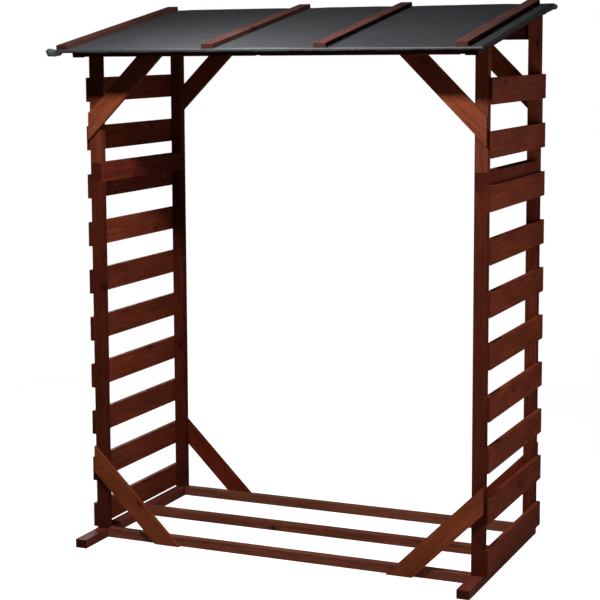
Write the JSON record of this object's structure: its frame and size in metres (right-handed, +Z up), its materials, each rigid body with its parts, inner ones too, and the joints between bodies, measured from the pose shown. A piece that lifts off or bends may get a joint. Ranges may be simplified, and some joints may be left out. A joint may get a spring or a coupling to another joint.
{
  "type": "log store",
  "caption": "Open firewood store with slatted side walls on skids, corner braces at front and back, and a felted pent roof held by battens.",
  "frame": {"origin": "on the ground, below the middle of the roof", "axes": "+X towards the right wall seen from the front, +Y from front to back, +Z up"},
  "size_m": [1.6, 0.9, 2.0196],
  "materials": {
    "stained_wood": "red-brown wood stain, satin, with grain and worn edges",
    "roof_felt": "dark grey mineral felt, matt and finely gritty",
    "fixing_steel": "dull zinc-plated screw and nail heads"
  },
  "bodies": {
    "root": {"back_beam": "stained_wood", "back_floor_rail": "stained_wood", "front_beam": "stained_wood", "front_floor_rail": "stained_wood", "left_back_lower_brace": "stained_wood", "left_back_lower_post": "stained_wood", "left_back_upper_brace": "stained_wood", "left_back_upper_post": "stained_wood", "left_fascia": "stained_wood", "left_front_lower_brace": "stained_wood", "left_front_lower_post": "stained_wood", "left_front_upper_brace": "stained_wood", "left_front_upper_post": "stained_wood", "left_rafter": "stained_wood", "left_roof_panel": "stained_wood", "left_skid": "stained_wood", "left_slat_1": "stained_wood", "left_slat_10": "stained_wood", "left_slat_2": "stained_wood", "left_slat_3": "stained_wood", "left_slat_4": "stained_wood", "left_slat_5": "stained_wood", "left_slat_6": "stained_wood", "left_slat_7": "stained_wood", "left_slat_8": "stained_wood", "left_slat_9": "stained_wood", "left_splice_board": "stained_wood", "middle_floor_rail": "stained_wood", "right_back_lower_brace": "stained_wood", "right_back_lower_post": "stained_wood", "right_back_upper_brace": "stained_wood", "right_back_upper_post": "stained_wood", "right_fascia": "stained_wood", "right_front_lower_brace": "stained_wood", "right_front_lower_post": "stained_wood", "right_front_upper_brace": "stained_wood", "right_front_upper_post": "stained_wood", "right_rafter": "stained_wood", "right_roof_panel": "stained_wood", "right_skid": "stained_wood", "right_slat_1": "stained_wood", "right_slat_10": "stained_wood", "right_slat_2": "stained_wood", "right_slat_3": "stained_wood", "right_slat_4": "stained_wood", "right_slat_5": "stained_wood", "right_slat_6": "stained_wood", "right_slat_7": "stained_wood", "right_slat_8": "stained_wood", "right_slat_9": "stained_wood", "right_splice_board": "stained_wood", "roof_batten_1": "stained_wood", "roof_batten_2": "stained_wood", "roof_batten_3": "stained_wood", "roof_batten_4": "stained_wood", "roof_felt": "roof_felt"}
  },
  "joints": []
}
